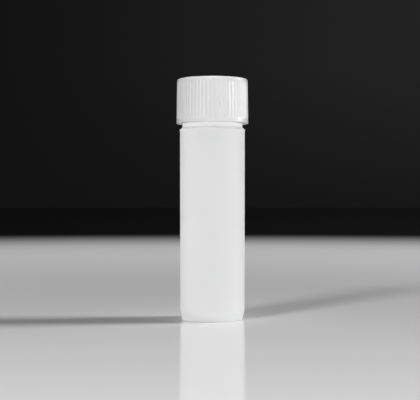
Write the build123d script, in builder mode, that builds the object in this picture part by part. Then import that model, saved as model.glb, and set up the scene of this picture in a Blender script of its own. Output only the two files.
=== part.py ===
from build123d import *
import os

# A self-standing screw-cap sample vial: a moulded body, a moulded cap and the silicone washer between them.
# Millimetres, +Z up, origin at the middle of the plane that it stands on. The cap is screwed down.

# Vial body, outside
body_height = 47.3            # base plane to the foot of the shoulder
body_radius = 8.15            # just under the lip at the shoulder
body_draft = 0.1              # how much narrower the wall is at its foot, on the radius
foot_bevel_height = 2.0
foot_bevel_depth = 0.45
foot_bevel_fillet = 1.0
foot_edge_fillet = 0.35       # both edges of the ring that it stands on
shoulder_lip = 0.1            # fine raised line where the moulds for body and neck part
shoulder_lip_height = 0.5
shoulder_rise = 0.6
shoulder_fillet = 0.2
collar_step = 0.1             # collar's radius beyond the thread's crest
collar_height = 0.75
base_hollow_radius = 5.4      # shallow hollow that leaves a ring to stand on
base_hollow_depth = 0.5
base_hollow_fillet = 0.25

# Vial body, inside
body_wall = 1.1
floor_thickness = 1.3         # over the hollow in the underside
floor_fillet = 2.4
neck_bore_radius = 5.8
throat_rise = 1.6             # height over which the cavity narrows to the neck's bore
throat_fillet = 0.8

# Neck and its thread, right-handed, of one start
neck_height = 9.9             # shoulder to rim
neck_wall = 0.85              # at the thread's root
rim_fillet = 0.25
thread_pitch = 3.0
thread_height = 0.75          # ridge beyond the neck
thread_root_width = 1.6
thread_crest_width = 0.7
thread_rise = 2.5             # collar to the middle of the ridge where it starts
thread_drop = 1.6             # rim to the middle of the ridge where it ends
thread_sink = 0.2             # how far a ridge's root is buried in its wall

# Cap
cap_wall = 1.3                # thread's bore to the ribs at the foot
cap_top_thickness = 1.3
cap_draft = 0.125             # how much narrower the skirt is at the top, on the radius
cap_top_fillet = 0.6
cap_foot_fillet = 0.15
cap_lead_in = 0.25            # chamfer at the mouth
cap_crest_width = 0.8
cap_root_width = 1.7
cap_thread_drop = 2.6         # bead to the middle of the ridge where it ends
rib_count = 60
groove_radius = 0.26          # round groove, its middle on the skirt's surface
plain_band_height = 0.9       # smooth band under the ribs
bead_height = 0.6             # ring that keeps the washer in the cap
bead_depth = 0.4
bead_fillet = 0.15

# Washer
washer_thickness = 0.9
washer_edge_fillet = 0.15

# Clearances
cap_collar_gap = 0.11         # cap's foot above the collar
crest_clearance = 0.3         # a thread's crest to the other piece's wall
flank_clearance = 0.12        # between the flanks that take the cap's pull
washer_clearance = 0.15       # washer's edge to the cap's bore
bead_clearance = 0.1          # bead under the washer

# Vial body: radii and levels that follow
foot_radius = body_radius - body_draft
neck_radius = neck_bore_radius + neck_wall
thread_radius = neck_radius + thread_height
collar_radius = thread_radius + collar_step
floor_level = base_hollow_depth + floor_thickness
shoulder_top = body_height + shoulder_rise
collar_top = shoulder_top + collar_height
rim_level = shoulder_top + neck_height
neck_helix_foot = collar_top + thread_rise
neck_helix_height = rim_level - thread_drop - neck_helix_foot

# Cap and washer: radii and levels that follow
cap_bore_radius = thread_radius + crest_clearance
cap_crest_depth = cap_bore_radius - neck_radius - crest_clearance
cap_foot_radius = cap_bore_radius + cap_wall
cap_top_radius = cap_foot_radius - cap_draft
washer_radius = cap_bore_radius - washer_clearance
cap_foot = collar_top + cap_collar_gap
cap_underside = rim_level + washer_thickness
cap_top = cap_underside + cap_top_thickness
bead_top = rim_level - bead_clearance
bead_foot = bead_top - bead_height

# The neck's ridge narrows towards its crest. Its width at the depth that the cap's ridge reaches, and that
# ridge's own crest, set how far the cap's ridge runs under the neck's.
thread_slope = (thread_root_width - thread_crest_width) / thread_height
width_at_cap_crest = thread_root_width - thread_slope * crest_clearance
flank_offset = (width_at_cap_crest + cap_crest_width) / 2 + flank_clearance
cap_helix_foot = neck_helix_foot - flank_offset
cap_helix_height = bead_foot - cap_thread_drop - cap_helix_foot


def across(helix):
    """Plane across the start of a helix, its x axis pointing straight away from the vial's axis."""
    start = helix @ 0
    return Plane(origin=start, x_dir=(start.X, start.Y, 0), z_dir=helix % 0)


# Vial body: its section turned about the axis, and the ridge of the thread carried round the neck
with BuildPart() as vial_body:
    with BuildSketch(Plane.XZ):
        with BuildLine():
            FilletPolyline(
                (0, base_hollow_depth),
                (base_hollow_radius - base_hollow_depth, base_hollow_depth),
                (base_hollow_radius, 0),
                (foot_radius - foot_bevel_depth, 0),
                (foot_radius, foot_bevel_height),
                (body_radius, body_height - shoulder_lip_height),
                (body_radius + shoulder_lip, body_height),
                (collar_radius, shoulder_top),
                (collar_radius, collar_top),
                (neck_radius, collar_top),
                (neck_radius, rim_level),
                (neck_bore_radius, rim_level),
                (neck_bore_radius, shoulder_top),
                (body_radius - body_wall, shoulder_top - throat_rise),
                (foot_radius - body_wall, floor_level),
                (0, floor_level),
                radius=[
                    base_hollow_fillet,
                    0,
                    0,
                    foot_bevel_fillet,
                    shoulder_fillet,
                    shoulder_fillet,
                    shoulder_fillet,
                    shoulder_fillet,
                    shoulder_fillet,
                    rim_fillet,
                    rim_fillet,
                    throat_fillet,
                    throat_fillet,
                    floor_fillet,
                ],
            )
            Line((0, floor_level), (0, base_hollow_depth))
        make_face()
    revolve(axis=Axis.Z)
    fillet(vial_body.edges().group_by(Axis.Z)[0], foot_edge_fillet)
    with BuildLine() as neck_helix:
        Helix(thread_pitch, neck_helix_height, neck_radius, center=(0, 0, neck_helix_foot))
    with BuildSketch(across(neck_helix.line)):
        with BuildLine():
            Polyline(
                (-thread_sink, -thread_root_width / 2),
                (0, -thread_root_width / 2),
                (thread_height, -thread_crest_width / 2),
                (thread_height, thread_crest_width / 2),
                (0, thread_root_width / 2),
                (-thread_sink, thread_root_width / 2),
                close=True,
            )
        make_face()
    sweep(path=neck_helix.line, is_frenet=True)

# One groove between two ribs, along the slope of the cap's skirt and out through its rounded top edge
skirt_line = Line((cap_foot_radius, 0, cap_foot), (cap_top_radius, 0, cap_top))
groove_start = skirt_line @ (plain_band_height / (cap_top - cap_foot))
with BuildPart() as rib_groove:
    with BuildSketch(Plane(origin=groove_start, z_dir=skirt_line % 0)):
        Circle(groove_radius)
    extrude(amount=skirt_line.length)

# Cap: its section turned about the axis, the ridge of its thread inside, and the grooves down its skirt
with BuildPart() as screw_cap:
    with BuildSketch(Plane.XZ):
        with BuildLine():
            FilletPolyline(
                (0, cap_top),
                (cap_top_radius, cap_top),
                (cap_foot_radius, cap_foot),
                (cap_bore_radius + cap_lead_in, cap_foot),
                (cap_bore_radius, cap_foot + cap_lead_in),
                (cap_bore_radius, bead_foot),
                (cap_bore_radius - bead_depth, (bead_foot + bead_top) / 2),
                (cap_bore_radius, bead_top),
                (cap_bore_radius, cap_underside),
                (0, cap_underside),
                radius=[cap_top_fillet, cap_foot_fillet, 0, 0, 0, bead_fillet, 0, 0],
            )
            Line((0, cap_underside), (0, cap_top))
        make_face()
    revolve(axis=Axis.Z)
    with BuildLine() as cap_helix:
        Helix(thread_pitch, cap_helix_height, cap_bore_radius, center=(0, 0, cap_helix_foot))
    with BuildSketch(across(cap_helix.line)):
        with BuildLine():
            Polyline(
                (thread_sink, -cap_root_width / 2),
                (0, -cap_root_width / 2),
                (-cap_crest_depth, -cap_crest_width / 2),
                (-cap_crest_depth, cap_crest_width / 2),
                (0, cap_root_width / 2),
                (thread_sink, cap_root_width / 2),
                close=True,
            )
        make_face()
    sweep(path=cap_helix.line, is_frenet=True)
    with PolarLocations(0, rib_count):
        add(rib_groove.part, mode=Mode.SUBTRACT)

# Washer: a flat disc on the rim, kept in the cap by the bead
with BuildPart() as sealing_washer:
    with BuildSketch(Plane.XY.offset(rim_level)):
        Circle(washer_radius)
    extrude(amount=washer_thickness)
    fillet(sealing_washer.edges().filter_by(GeomType.CIRCLE), washer_edge_fillet)

vial_body.part.label = "vial_body"
screw_cap.part.label = "screw_cap"
sealing_washer.part.label = "sealing_washer"

os.makedirs("parts", exist_ok=True)
export_step(vial_body.part, "parts/vial_body.step")
export_step(screw_cap.part, "parts/screw_cap.step")
export_step(sealing_washer.part, "parts/sealing_washer.step")
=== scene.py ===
import bpy
import math
import numpy as np
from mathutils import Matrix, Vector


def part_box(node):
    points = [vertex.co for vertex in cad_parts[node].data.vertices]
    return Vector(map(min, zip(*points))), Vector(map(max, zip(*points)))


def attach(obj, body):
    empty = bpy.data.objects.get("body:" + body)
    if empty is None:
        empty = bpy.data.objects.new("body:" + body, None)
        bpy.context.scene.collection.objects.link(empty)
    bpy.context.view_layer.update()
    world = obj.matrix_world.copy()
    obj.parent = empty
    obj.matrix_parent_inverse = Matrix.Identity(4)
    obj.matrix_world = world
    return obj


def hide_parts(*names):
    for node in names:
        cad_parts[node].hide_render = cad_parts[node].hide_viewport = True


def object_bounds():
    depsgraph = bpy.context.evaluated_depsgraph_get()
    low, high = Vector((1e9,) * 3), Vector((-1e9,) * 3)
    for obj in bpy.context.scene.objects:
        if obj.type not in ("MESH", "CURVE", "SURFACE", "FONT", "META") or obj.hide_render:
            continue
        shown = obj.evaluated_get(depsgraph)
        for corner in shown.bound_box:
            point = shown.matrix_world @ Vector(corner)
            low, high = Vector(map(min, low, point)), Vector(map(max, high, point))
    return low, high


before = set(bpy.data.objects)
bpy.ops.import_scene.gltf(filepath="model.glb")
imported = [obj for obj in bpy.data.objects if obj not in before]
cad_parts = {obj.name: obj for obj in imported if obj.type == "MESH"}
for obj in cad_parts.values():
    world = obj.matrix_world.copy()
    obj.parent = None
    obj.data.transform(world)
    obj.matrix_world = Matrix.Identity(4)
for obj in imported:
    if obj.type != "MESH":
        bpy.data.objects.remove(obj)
cadLow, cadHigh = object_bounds()
mm = 0.001
print("frame loaded:", sorted(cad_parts))

# levels that the frame gives, in millimetres
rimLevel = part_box("vial_body")[1].z / mm
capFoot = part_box("screw_cap")[0].z / mm
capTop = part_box("screw_cap")[1].z / mm
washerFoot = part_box("sealing_washer")[0].z / mm
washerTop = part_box("sealing_washer")[1].z / mm
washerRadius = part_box("sealing_washer")[1].x / mm


def smoothStep(x):
    # 0 below 0, 1 above 1, and 3x^2 - 2x^3 between
    t = np.clip(x, 0, 1)
    return t * t * (3 - 2 * t)


def roundedPath(corners, arcStep=15, support=0.12):
    # a line through (radius, height, fillet, spacing) corners: each corner is an arc tangent to its two sides,
    # each side gets points no further apart than the spacing of the corner it starts from,
    # and one more point close to each end so that smooth shading keeps the flat stretches flat
    points = np.array([c[:2] for c in corners], float)
    pieces = [points[:1]]
    for i in range(1, len(corners)):
        start = pieces[-1][-1]
        end, arc = points[i], None
        if i < len(corners) - 1 and corners[i][2]:
            into = points[i] - points[i - 1]
            out = points[i + 1] - points[i]
            into, out = into / np.linalg.norm(into), out / np.linalg.norm(out)
            turn = math.atan2(into[0] * out[1] - into[1] * out[0], into @ out)
            reach = corners[i][2] * math.tan(abs(turn) / 2)
            end = points[i] - into * reach
            middle = end + np.array([-into[1], into[0]]) * corners[i][2] * np.sign(turn)
            count = max(3, math.ceil(math.degrees(abs(turn)) / arcStep) + 1)
            swing = np.linspace(0, turn, count)[1:, None]
            arm = end - middle
            arc = middle + np.hstack([
                arm[0] * np.cos(swing) - arm[1] * np.sin(swing),
                arm[0] * np.sin(swing) + arm[1] * np.cos(swing),
            ])
        length = np.linalg.norm(end - start)
        if length > 1e-6:
            even = np.linspace(0, 1, max(1, math.ceil(length / corners[i - 1][3])) + 1)[1:]
            near = [support / length, 1 - support / length] if length > 4 * support else []
            share = np.unique(np.round(np.concatenate([even, near]), 6))[:, None]
            pieces.append(start + (end - start) * share)
        if arc is not None:
            pieces.append(arc)
    path = np.vstack(pieces)
    return path[:, 0], path[:, 1]


def turnedPiece(name, radius, height):
    # a closed surface turned about Z: row i, column j lies at radius[i, j] and height[i, j] at the angle of
    # column j; the first and last rows shrink to single points on the axis
    rows, columns = radius.shape
    angle = np.arange(columns) * 2 * np.pi / columns
    grid = np.stack([radius * np.cos(angle), radius * np.sin(angle), height], -1)[1:-1]
    poles = np.array([[0, 0, height[0, 0]], [0, 0, height[-1, 0]]])
    points = np.vstack([grid.reshape(-1, 3), poles]) * mm
    first = np.arange((rows - 3) * columns).reshape(rows - 3, columns)
    beside = np.roll(first, -1, axis=1)
    quads = np.stack([first, beside, beside + columns, first + columns], -1).reshape(-1, 4)
    ring = np.arange(columns)
    last = (rows - 3) * columns + ring
    bottom = np.stack([np.full(columns, len(points) - 2), np.roll(ring, -1), ring], -1)
    top = np.stack([np.full(columns, len(points) - 1), last, np.roll(last, -1)], -1)
    corners = np.concatenate([quads.ravel(), bottom.ravel(), top.ravel()])
    sizes = np.concatenate([np.full(len(quads), 4), np.full(2 * columns, 3)])
    mesh = bpy.data.meshes.new(name)
    mesh.vertices.add(len(points))
    mesh.vertices.foreach_set("co", points.ravel())
    mesh.loops.add(len(corners))
    mesh.loops.foreach_set("vertex_index", corners.astype(np.int32))
    mesh.polygons.add(len(sizes))
    mesh.polygons.foreach_set("loop_start", (np.cumsum(sizes) - sizes).astype(np.int32))
    mesh.update(calc_edges=True)
    mesh.validate()
    mesh.shade_smooth()
    piece = bpy.data.objects.new(name, mesh)
    bpy.context.scene.collection.objects.link(piece)
    print(name, "faces:", len(mesh.polygons))
    return piece


def threadRidge(angle, level, thread):
    # height of a helical ridge over its wall: 1 at the crest and 0 past the root, after how far the level is
    # from the nearest turn, and faded out over a share of a turn at both ends
    turn = (level - thread["foot"]) / thread["pitch"] - angle / (2 * np.pi)
    nearest = np.round(turn)
    away = np.abs(turn - nearest) * thread["pitch"]
    along = nearest + angle / (2 * np.pi)
    flank = (thread["rootHalf"] - away) / (thread["rootHalf"] - thread["crestHalf"])
    ends = smoothStep(along / thread["fade"] + 1) * smoothStep((thread["turns"] - along) / thread["fade"] + 1)
    return thread["height"] * smoothStep(flank) * ends


vial = {
    "radius": 8.09, "draft": 0.05, "wall": 1.1,
    "footBevelHeight": 2.1, "footBevelDepth": 0.42, "footBevelFillet": 3.0,
    "footBandHeight": 0.8, "footBandDepth": 0.36, "footBandFillet": 2.0, "footEdge": 0.2,
    "hollowRadius": 5.4, "hollowDepth": 0.5, "hollowFillet": 0.25,
    "gateRadius": 0.7, "gateHeight": 0.18, "gateSlope": 0.1, "gateEdge": 0.06, "gateFillet": 0.08,
    "lip": 0.12, "lipHeight": 0.5, "lipFillet": 0.4, "lipEdge": 0.14,
    "shoulderLevel": 47.3, "shoulderRise": 0.6, "shoulderFillet": 0.2,
    "collarRadius": 7.5, "collarReach": 0.24, "collarEdge": 0.05,  # the collar ends just inside the cap's mouth
    "neckRadius": 6.65, "neckFillet": 0.2, "rimEdge": 0.25,
    "boreRadius": 5.8, "throatRise": 1.6, "throatFillet": 0.8,
    "floor": 1.3, "floorFillet": 2.4,
    "columns": 320,
}
neckThread = {
    "pitch": 3.0, "foot": 51.15, "turns": 1.68, "fade": 0.09,
    "height": 0.75, "rootHalf": 0.8, "crestHalf": 0.3,
}


def makeVialBody(v):
    # the wall's section from the middle of the underside, up the outside, over the rim and down the inside,
    # turned about Z, with the thread's ridge added to the neck's radius
    shoulderTop = v["shoulderLevel"] + v["shoulderRise"]
    collarTop = capFoot + v["collarReach"]
    footRadius = v["radius"] - v["draft"]
    floorLevel = v["hollowDepth"] + v["floor"]
    gateLevel = v["hollowDepth"] - v["gateHeight"]
    radius, height = roundedPath([
        (0, gateLevel, 0, 0.4),
        (v["gateRadius"], gateLevel, v["gateEdge"], 0.4),
        (v["gateRadius"] + v["gateSlope"], v["hollowDepth"], v["gateFillet"], 1.2),
        (v["hollowRadius"] - v["hollowDepth"], v["hollowDepth"], v["hollowFillet"], 0.4),
        (v["hollowRadius"], 0, v["footEdge"], 0.6),
        (footRadius - v["footBevelDepth"], 0, v["footEdge"], 0.3),
        (footRadius - v["footBandDepth"], v["footBandHeight"], v["footBandFillet"], 0.4),
        (footRadius, v["footBevelHeight"], v["footBevelFillet"], 3.0),
        (v["radius"], v["shoulderLevel"] - v["lipHeight"], v["lipFillet"], 0.2),
        (v["radius"] + v["lip"], v["shoulderLevel"], v["lipEdge"], 0.2),
        (v["collarRadius"], shoulderTop, v["shoulderFillet"], 0.3),
        (v["collarRadius"], collarTop, v["collarEdge"], 0.3),
        (v["neckRadius"], collarTop, v["neckFillet"], 0.11),
        (v["neckRadius"], rimLevel, v["rimEdge"], 0.3),
        (v["boreRadius"], rimLevel, v["rimEdge"], 2.5),
        (v["boreRadius"], shoulderTop, v["throatFillet"], 0.5),
        (v["radius"] - v["wall"], shoulderTop - v["throatRise"], v["throatFillet"], 6.0),
        (footRadius - v["wall"], floorLevel, v["floorFillet"], 1.2),
        (0, floorLevel, 0, 1.0),
    ])
    angle = np.arange(v["columns"]) * 2 * np.pi / v["columns"]
    onNeck = (radius > v["neckRadius"] - 0.3) & (height > collarTop + 0.1) & (height < rimLevel - 0.1)
    ridge = threadRidge(angle[None, :], height[:, None], neckThread)
    radius = radius[:, None] + np.where(onNeck[:, None], ridge, 0)
    height = np.repeat(height[:, None], v["columns"], axis=1)
    return turnedPiece("vialBody", radius, height)


cap = {
    "footRadius": 8.98, "draft": 0.16, "boreRadius": 7.7, "topThickness": 1.24, "innerEdge": 0.1,
    "topDrop": 0.06, "footLift": 0.12,  # how far the top and the foot lie inside the frame's cap
    "topEdge": 0.5, "footEdge": 0.08, "footRise": 0.1, "leadIn": 0.1, "leadFillet": 0.08,
    "beadDepth": 0.4, "beadHeight": 0.6, "beadGap": 0.1, "beadFillet": 0.15,
    "ribs": 60, "grooveDepth": 0.12, "grooveHalf": 0.45, "band": 0.9, "bandFade": 0.45,
    "topBand": 0.6, "topFade": 0.4,
    "gateRadius": 1.4, "gateDepth": 0.12, "gateSlope": 0.2, "gateEdge": 0.2, "gateFillet": 0.1,
    "sink": 0.014, "columnsPerRib": 8,
}
capThread = {
    "pitch": 3.0, "foot": 49.98, "turns": 1.5, "fade": 0.09,
    "height": 0.75, "rootHalf": 0.85, "crestHalf": 0.35,
}


def makeScrewCap(c):
    # the section from the middle of the inside of the top, down the bore, round the mouth, up the skirt and
    # over the top; grooves then cut the skirt wherever it stands out further than their floor, and the inner
    # thread's ridge is taken off the bore's radius
    foot = capFoot + c["footLift"]
    top = capTop - c["topDrop"]
    underside = top - c["topThickness"]
    beadTop = washerFoot - c["beadGap"]
    beadFoot = beadTop - c["beadHeight"]
    topRadius = c["footRadius"] - c["draft"]
    radius, height = roundedPath([
        (0, underside, 0, 2.5),
        (c["boreRadius"], underside, c["innerEdge"], 0.4),
        (c["boreRadius"], beadTop, c["innerEdge"], 0.15),
        (c["boreRadius"] - c["beadDepth"], (beadTop + beadFoot) / 2, c["beadFillet"], 0.15),
        (c["boreRadius"], beadFoot, c["innerEdge"], 0.15),
        (c["boreRadius"], foot + c["footRise"] + c["leadIn"], c["innerEdge"], 0.15),
        (c["boreRadius"] + c["leadIn"], foot + c["footRise"], c["leadFillet"], 0.4),
        (c["footRadius"], foot, c["footEdge"], 0.12),
        (c["footRadius"] - c["draft"] * 0.2, foot + (top - foot) * 0.2, 0, 0.4),
        (topRadius, top, c["topEdge"], 2.0),
        (c["gateRadius"] + c["gateSlope"], top, c["gateEdge"], 0.3),
        (c["gateRadius"], top - c["gateDepth"], c["gateFillet"], 0.6),
        (0, top - c["gateDepth"], 0, 1.0),
    ], arcStep=12)
    columns = c["ribs"] * c["columnsPerRib"]
    angle = np.arange(columns) * 2 * np.pi / columns
    inBore = (radius < c["boreRadius"] + 0.3) & (height > foot + c["leadIn"]) & (height < beadFoot)
    inside = threadRidge(angle[None, :], height[:, None], capThread)
    # the skirt draws in a little where the ridge inside makes it thicker
    onSkirt = (radius > c["boreRadius"] + 0.6) & (height > foot + 0.3)
    drawnIn = c["sink"] * inside / capThread["height"] * onSkirt[:, None]
    skirt = topRadius + c["draft"] * (top - height) / (top - foot)
    pitch = 2 * np.pi / c["ribs"]
    across = np.abs((angle / pitch + 0.5) % 1 - 0.5) * pitch * c["footRadius"]
    groove = c["grooveDepth"] * (1 - smoothStep(across / c["grooveHalf"]))
    runIn = smoothStep((height - foot - c["band"]) / c["bandFade"])
    runIn = runIn * smoothStep((top - c["topBand"] - height) / c["topFade"])
    grooveFloor = skirt[:, None] - groove[None, :] * runIn[:, None]
    outer = np.where(onSkirt[:, None], np.minimum(radius[:, None], grooveFloor) - drawnIn, radius[:, None])
    radius = np.where(inBore[:, None], radius[:, None] - inside, outer)
    height = np.repeat(height[:, None], columns, axis=1)
    return turnedPiece("screwCap", radius, height)


washer = {"edge": 0.15, "columns": 160}


def makeWasher(w):
    # a disc with rounded edges, from the middle of its underside round to the middle of its top
    radius, height = roundedPath([
        (0, washerFoot, 0, 1.5),
        (washerRadius, washerFoot, w["edge"], 0.3),
        (washerRadius, washerTop, w["edge"], 1.5),
        (0, washerTop, 0, 1.0),
    ])
    spread = np.ones((1, w["columns"]))
    return turnedPiece("sealingWasher", radius[:, None] * spread, height[:, None] * spread)


def addNode(tree, kind, **values):
    # a new node, where in_Name sets the input of that name and any other word sets the node's own property
    node = tree.nodes.new(kind)
    for key, value in values.items():
        if key.startswith("in_"):
            node.inputs[key[3:].replace("_", " ")].default_value = value
        else:
            setattr(node, key, value)
    return node


# how many of each pattern's cells go into a metre
patterns = {"clouds": 140.0, "mottle": 900.0, "flowLines": (700, 700, 40), "grain": 5200.0}


def makeMouldedGroup(p):
    # moulded plastic: slow clouds of tone, finer clouds of roughness, flow lines along Z and a fine grain
    group = bpy.data.node_groups.new("mouldedPlastic", "ShaderNodeTree")
    sockets = [
        ("Color", "INPUT", "NodeSocketColor"), ("Deep Color", "INPUT", "NodeSocketColor"),
        ("Roughness", "INPUT", "NodeSocketFloat"), ("Roughness Swing", "INPUT", "NodeSocketFloat"),
        ("Grain", "INPUT", "NodeSocketFloat"), ("Flow", "INPUT", "NodeSocketFloat"),
        ("Color", "OUTPUT", "NodeSocketColor"), ("Roughness", "OUTPUT", "NodeSocketFloat"),
        ("Height", "OUTPUT", "NodeSocketFloat"),
    ]
    for name, way, kind in sockets:
        group.interface.new_socket(name, in_out=way, socket_type=kind)
    given = group.nodes.new("NodeGroupInput")
    result = group.nodes.new("NodeGroupOutput")
    place = addNode(group, "ShaderNodeTexCoord")
    link = group.links.new
    clouds = addNode(group, "ShaderNodeTexNoise", in_Scale=p["clouds"], in_Detail=3.0, in_Roughness=0.5)
    link(place.outputs["Object"], clouds.inputs["Vector"])
    tone = addNode(group, "ShaderNodeMix", data_type="RGBA")
    link(clouds.outputs["Fac"], tone.inputs["Factor"])
    link(given.outputs["Color"], tone.inputs[6])
    link(given.outputs["Deep Color"], tone.inputs[7])
    link(tone.outputs[2], result.inputs["Color"])
    mottle = addNode(group, "ShaderNodeTexNoise", in_Scale=p["mottle"], in_Detail=4.0, in_Roughness=0.6)
    link(place.outputs["Object"], mottle.inputs["Vector"])
    centred = addNode(group, "ShaderNodeMath", operation="SUBTRACT")
    centred.inputs[1].default_value = 0.5
    link(mottle.outputs["Fac"], centred.inputs[0])
    swing = addNode(group, "ShaderNodeMath", operation="MULTIPLY_ADD")
    link(centred.outputs[0], swing.inputs[0])
    link(given.outputs["Roughness Swing"], swing.inputs[1])
    link(given.outputs["Roughness"], swing.inputs[2])
    link(swing.outputs[0], result.inputs["Roughness"])
    stretch = addNode(group, "ShaderNodeMapping", in_Scale=p["flowLines"])
    link(place.outputs["Object"], stretch.inputs["Vector"])
    flow = addNode(group, "ShaderNodeTexNoise", in_Scale=1.0, in_Detail=2.0)
    link(stretch.outputs["Vector"], flow.inputs["Vector"])
    grain = addNode(group, "ShaderNodeTexNoise", in_Scale=p["grain"], in_Detail=2.0)
    link(place.outputs["Object"], grain.inputs["Vector"])
    flowHeight = addNode(group, "ShaderNodeMath", operation="MULTIPLY")
    link(flow.outputs["Fac"], flowHeight.inputs[0])
    link(given.outputs["Flow"], flowHeight.inputs[1])
    both = addNode(group, "ShaderNodeMath", operation="MULTIPLY_ADD")
    link(grain.outputs["Fac"], both.inputs[0])
    link(given.outputs["Grain"], both.inputs[1])
    link(flowHeight.outputs[0], both.inputs[2])
    link(both.outputs[0], result.inputs["Height"])
    return group


def makePlastic(name, group, look):
    # translucent moulded plastic: the group's tone, roughness and relief on a scattering Principled shader
    material = bpy.data.materials.new(name)
    material.use_nodes = True
    tree = material.node_tree
    shader = tree.nodes["Principled BSDF"]
    moulded = addNode(tree, "ShaderNodeGroup", node_tree=group)
    moulded.inputs["Color"].default_value = (*look["color"], 1)
    moulded.inputs["Deep Color"].default_value = (*look["deepColor"], 1)
    moulded.inputs["Roughness"].default_value = look["roughness"]
    moulded.inputs["Roughness Swing"].default_value = look["roughnessSwing"]
    moulded.inputs["Grain"].default_value = look["grain"]
    moulded.inputs["Flow"].default_value = look["flow"]
    relief = addNode(tree, "ShaderNodeBump", in_Strength=1.0, in_Distance=look["relief"])
    tree.links.new(moulded.outputs["Color"], shader.inputs["Base Color"])
    tree.links.new(moulded.outputs["Roughness"], shader.inputs["Roughness"])
    tree.links.new(moulded.outputs["Height"], relief.inputs["Height"])
    tree.links.new(relief.outputs["Normal"], shader.inputs["Normal"])
    shader.inputs["IOR"].default_value = look["ior"]
    shader.inputs["Subsurface Weight"].default_value = look["scatter"]
    shader.inputs["Subsurface Radius"].default_value = (1.0, 1.0, 0.96)
    shader.inputs["Subsurface Scale"].default_value = look["scatterDepth"]
    material.diffuse_color = (*look["color"], 1)
    return material


looks = {
    "vial": {
        "color": (0.86, 0.86, 0.86), "deepColor": (0.84, 0.84, 0.84), "roughness": 0.46,
        "roughnessSwing": 0.12, "grain": 0.5, "flow": 0.5, "relief": 0.00001, "ior": 1.52,
        "scatter": 1.0, "scatterDepth": 0.0008,
    },
    "cap": {
        "color": (0.8, 0.8, 0.8), "deepColor": (0.78, 0.78, 0.78), "roughness": 0.2,
        "roughnessSwing": 0.1, "grain": 0.5, "flow": 0.2, "relief": 0.00001, "ior": 1.5,
        "scatter": 0.0, "scatterDepth": 0.0003,
    },
    "washer": {
        "color": (0.78, 0.78, 0.76), "deepColor": (0.74, 0.74, 0.72), "roughness": 0.5,
        "roughnessSwing": 0.1, "grain": 1.0, "flow": 0.0, "relief": 0.00001, "ior": 1.41,
        "scatter": 0.8, "scatterDepth": 0.002,
    },
}


def finishPiece(piece, material, body, node):
    # the piece gets its material, rides on its body and stands for its node
    piece.data.materials.append(material)
    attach(piece, body)
    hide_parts(node)


moulded = makeMouldedGroup(patterns)
vialBody = makeVialBody(vial)
vialPlastic = makePlastic("vialPlastic", moulded, looks["vial"])
finishPiece(vialBody, vialPlastic, "vial", "vial_body")
screwCap = makeScrewCap(cap)
capPlastic = makePlastic("capPlastic", moulded, looks["cap"])
finishPiece(screwCap, capPlastic, "cap", "screw_cap")
sealingWasher = makeWasher(washer)
washerSilicone = makePlastic("washerSilicone", moulded, looks["washer"])
finishPiece(sealingWasher, washerSilicone, "seal", "sealing_washer")
print("pieces made")


table = {
    "radius": 4.0, "sides": 96, "color": 0.92, "bounce": 0.5, "roughness": 0.1, "ior": 1.1,
    "fadeStart": 0.38, "fadeEnd": 0.7, "farColor": 0.006,
    # the painted glow on the table: where it starts, where it is full, and how bright it gets
    "poolStart": 0.02, "poolEnd": 0.34, "pool": 0.205,
}


def makeFloor(t):
    # a round table top: its colour is pale up to one distance from the vial and falls by a smooth step to the
    # dark of the room at another; the camera and gloss also see a faint painted glow, emission from no lamp,
    # that grows away from the vial, and all other rays meet only a share of the colour, so that the table lights
    # the vial softly from below
    angle = np.arange(t["sides"]) * 2 * np.pi / t["sides"]
    rim = np.stack([np.cos(angle), np.sin(angle), np.zeros(t["sides"])], -1) * t["radius"]
    mesh = bpy.data.meshes.new("floor")
    mesh.from_pydata(rim.tolist(), [], [list(range(t["sides"]))])
    floor = bpy.data.objects.new("floor", mesh)
    bpy.context.scene.collection.objects.link(floor)
    material = bpy.data.materials.new("tableTop")
    material.use_nodes = True
    tree = material.node_tree
    shader = tree.nodes["Principled BSDF"]
    place = addNode(tree, "ShaderNodeTexCoord")
    away = addNode(tree, "ShaderNodeVectorMath", operation="LENGTH")
    tree.links.new(place.outputs["Object"], away.inputs[0])
    fade = addNode(
        tree, "ShaderNodeMapRange", interpolation_type="SMOOTHSTEP", in_From_Min=t["fadeStart"],
        in_From_Max=t["fadeEnd"], in_To_Min=t["color"], in_To_Max=t["farColor"],
    )
    tree.links.new(away.outputs["Value"], fade.inputs["Value"])
    # painted glow: emission seen only by the camera and gloss, none by the vial and growing by a smooth step
    # further out
    pool = addNode(
        tree, "ShaderNodeMapRange", interpolation_type="SMOOTHSTEP", in_From_Min=t["poolStart"],
        in_From_Max=t["poolEnd"], in_To_Max=t["pool"],
    )
    tree.links.new(away.outputs["Value"], pool.inputs["Value"])
    poolColor = addNode(tree, "ShaderNodeMath", operation="MULTIPLY")
    tree.links.new(pool.outputs["Result"], poolColor.inputs[0])
    tree.links.new(fade.outputs["Result"], poolColor.inputs[1])
    ray = addNode(tree, "ShaderNodeLightPath")
    seen = addNode(tree, "ShaderNodeMath", operation="MAXIMUM")
    tree.links.new(ray.outputs["Is Camera Ray"], seen.inputs[0])
    tree.links.new(ray.outputs["Is Glossy Ray"], seen.inputs[1])
    bounce = addNode(tree, "ShaderNodeMapRange", in_To_Min=t["bounce"])
    tree.links.new(seen.outputs[0], bounce.inputs["Value"])
    floorColor = addNode(tree, "ShaderNodeMath", operation="MULTIPLY")
    tree.links.new(fade.outputs["Result"], floorColor.inputs[0])
    tree.links.new(bounce.outputs["Result"], floorColor.inputs[1])
    tree.links.new(floorColor.outputs[0], shader.inputs["Base Color"])
    tree.links.new(poolColor.outputs[0], shader.inputs["Emission Color"])
    tree.links.new(seen.outputs[0], shader.inputs["Emission Strength"])
    shader.inputs["Roughness"].default_value = t["roughness"]
    shader.inputs["IOR"].default_value = t["ior"]
    mesh.materials.append(material)
    return floor


room = {
    "dark": 0.006, "low": 0.009, "light": 0.018, "high": 0.12, "mirrored": 0.55,
    "darkSide": -0.25, "lightSide": 0.3,
    "ring": 1.0, "ringEnd": 0.28, "ceiling": 0.0,
}


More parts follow.
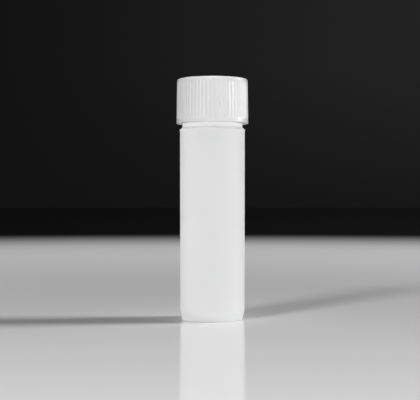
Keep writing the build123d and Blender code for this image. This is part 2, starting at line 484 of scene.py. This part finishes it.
def makeRoom(r):
    # the camera, gloss and glass see a dark room that grows lighter by a smooth step towards +X, more so higher
    # up, and dimmer by a factor where it is mirrored; everything else gets a soft ring of light from it, full at
    # the horizon and falling by a smooth step upwards
    world = bpy.data.worlds.new("room")
    bpy.context.scene.world = world
    world.use_nodes = True
    tree = world.node_tree
    shader = tree.nodes["Background"]
    shader.inputs["Color"].default_value = (1, 1, 1, 1)
    place = addNode(tree, "ShaderNodeTexCoord")
    part = addNode(tree, "ShaderNodeSeparateXYZ")
    tree.links.new(place.outputs["Generated"], part.inputs[0])
    wall = addNode(
        tree, "ShaderNodeMapRange", interpolation_type="SMOOTHSTEP", in_From_Min=r["darkSide"],
        in_From_Max=r["lightSide"], in_To_Min=r["dark"],
    )
    tree.links.new(part.outputs["X"], wall.inputs["Value"])
    high = addNode(tree, "ShaderNodeMapRange", in_From_Max=r["high"], in_To_Min=r["low"], in_To_Max=r["light"])
    tree.links.new(part.outputs["Z"], high.inputs["Value"])
    tree.links.new(high.outputs["Result"], wall.inputs["To Max"])
    ray = addNode(tree, "ShaderNodeLightPath")
    seen = addNode(tree, "ShaderNodeMath", operation="MAXIMUM")
    tree.links.new(ray.outputs["Is Camera Ray"], seen.inputs[0])
    tree.links.new(ray.outputs["Is Glossy Ray"], seen.inputs[1])
    seenThrough = addNode(tree, "ShaderNodeMath", operation="MAXIMUM")
    tree.links.new(seen.outputs[0], seenThrough.inputs[0])
    tree.links.new(ray.outputs["Is Transmission Ray"], seenThrough.inputs[1])
    ring = addNode(
        tree, "ShaderNodeMapRange", interpolation_type="SMOOTHSTEP", in_From_Max=r["ringEnd"],
        in_To_Min=r["ring"], in_To_Max=r["ceiling"],
    )
    tree.links.new(part.outputs["Z"], ring.inputs["Value"])
    mirrored = addNode(tree, "ShaderNodeMapRange", in_To_Min=1, in_To_Max=r["mirrored"])
    tree.links.new(ray.outputs["Is Glossy Ray"], mirrored.inputs["Value"])
    wallSeen = addNode(tree, "ShaderNodeMath", operation="MULTIPLY")
    tree.links.new(wall.outputs["Result"], wallSeen.inputs[0])
    tree.links.new(mirrored.outputs["Result"], wallSeen.inputs[1])
    level = addNode(tree, "ShaderNodeMapRange")
    tree.links.new(ring.outputs["Result"], level.inputs["To Min"])
    tree.links.new(wallSeen.outputs[0], level.inputs["To Max"])
    tree.links.new(seenThrough.outputs[0], level.inputs["Value"])
    tree.links.new(level.outputs["Result"], shader.inputs["Strength"])


# metres, degrees from +X towards +Y, degrees up, and watts; shadeOf names the only group that shades a lamp
strip = {"lights": "body", "rise": 3, "distance": 2.0, "wide": 3.0, "tall": 0.2}
panel = {"distance": 2.0, "wide": 0.6, "tall": 0.6}
lamps = {
    "frontStrip": {**strip, "turn": -90, "power": 24.2, "shadeOf": "body"},
    "leftStrip": {**strip, "turn": 180, "power": 23.3},
    "rightStrip": {**strip, "turn": 0, "power": 25.2},
    "backStrip": {**strip, "turn": 90, "power": 23.6},
    "capFrontLamp": {**panel, "lights": "cap", "turn": -95, "rise": 6, "power": 30},
    "capSideLamp": {**panel, "lights": "cap", "turn": 7, "rise": 14, "power": 17, "gloss": True},
    "capLeftLamp": {**panel, "lights": "cap", "turn": 145, "rise": 6, "power": 8},
    "capBackLamp": {**panel, "lights": "cap", "turn": 100, "rise": 14, "power": 24},
    "topLamp": {
        "lights": "vial", "turn": 0, "rise": 90, "distance": 2.0, "wide": 1.0, "tall": 1.0, "power": 22,
        "gloss": True,
    },
    "tableSideLamp": {
        "lights": "table", "turn": 7, "rise": 40, "distance": 2.0, "wide": 0.45, "tall": 0.6, "power": 29,
    },
    "tableFrontLamp": {
        "lights": "table", "turn": -124, "rise": 26, "distance": 1.2, "wide": 0.24, "tall": 0.24, "power": 8.2,
    },
}


def makeLamp(name, values, groups):
    # an oblong area lamp that looks at the middle of the vial, turned from +X towards +Y and raised from level,
    # which lights only its own group of pieces and shows in gloss only where that is asked for
    lamp = bpy.data.lights.new(name, "AREA")
    lamp.shape = "RECTANGLE"
    lamp.size, lamp.size_y = values["tall"], values["wide"]
    lamp.energy = values["power"]
    lampObject = bpy.data.objects.new(name, lamp)
    turn, rise = math.radians(values["turn"]), math.radians(values["rise"])
    out = np.array([math.cos(turn) * math.cos(rise), math.sin(turn) * math.cos(rise), math.sin(rise)])
    lampObject.location = np.array([0, 0, (cadLow.z + cadHigh.z) / 2]) + out * values["distance"]
    lampObject.rotation_euler = (0, math.pi / 2 - rise, turn)
    lampObject.visible_camera = False
    lampObject.visible_glossy = values.get("gloss", False)
    lampObject.light_linking.receiver_collection = groups[values["lights"]]
    if "shadeOf" in values:
        lampObject.light_linking.blocker_collection = groups[values["shadeOf"]]
    bpy.context.scene.collection.objects.link(lampObject)


view = {"lens": 94.2, "sensorWidth": 36, "clipStart": 0.01, "place": (-0.0006, -0.275, 0.0298)}


def makeCamera(v):
    # level, in front of the vial on its -Y side, with the horizon at mid-height
    camera = bpy.data.cameras.new("camera")
    camera.lens = v["lens"]
    camera.sensor_width = v["sensorWidth"]
    camera.clip_start = v["clipStart"]
    cameraObject = bpy.data.objects.new("camera", camera)
    cameraObject.location = v["place"]
    cameraObject.rotation_euler = (math.pi / 2, 0, 0)
    bpy.context.scene.collection.objects.link(cameraObject)
    bpy.context.scene.camera = cameraObject


litPieces = {
    "table": [makeFloor(table)], "vial": [vialBody, screwCap, sealingWasher],
    "body": [vialBody], "cap": [screwCap, sealingWasher],
}
litGroups = {}
for litName, pieces in litPieces.items():
    litGroups[litName] = bpy.data.collections.new(litName + "Lit")
    for piece in pieces:
        litGroups[litName].objects.link(piece)
makeRoom(room)
for lampName, lampValues in lamps.items():
    makeLamp(lampName, lampValues, litGroups)
makeCamera(view)
bpy.context.scene.view_settings.view_transform = "Standard"
print("studio made")
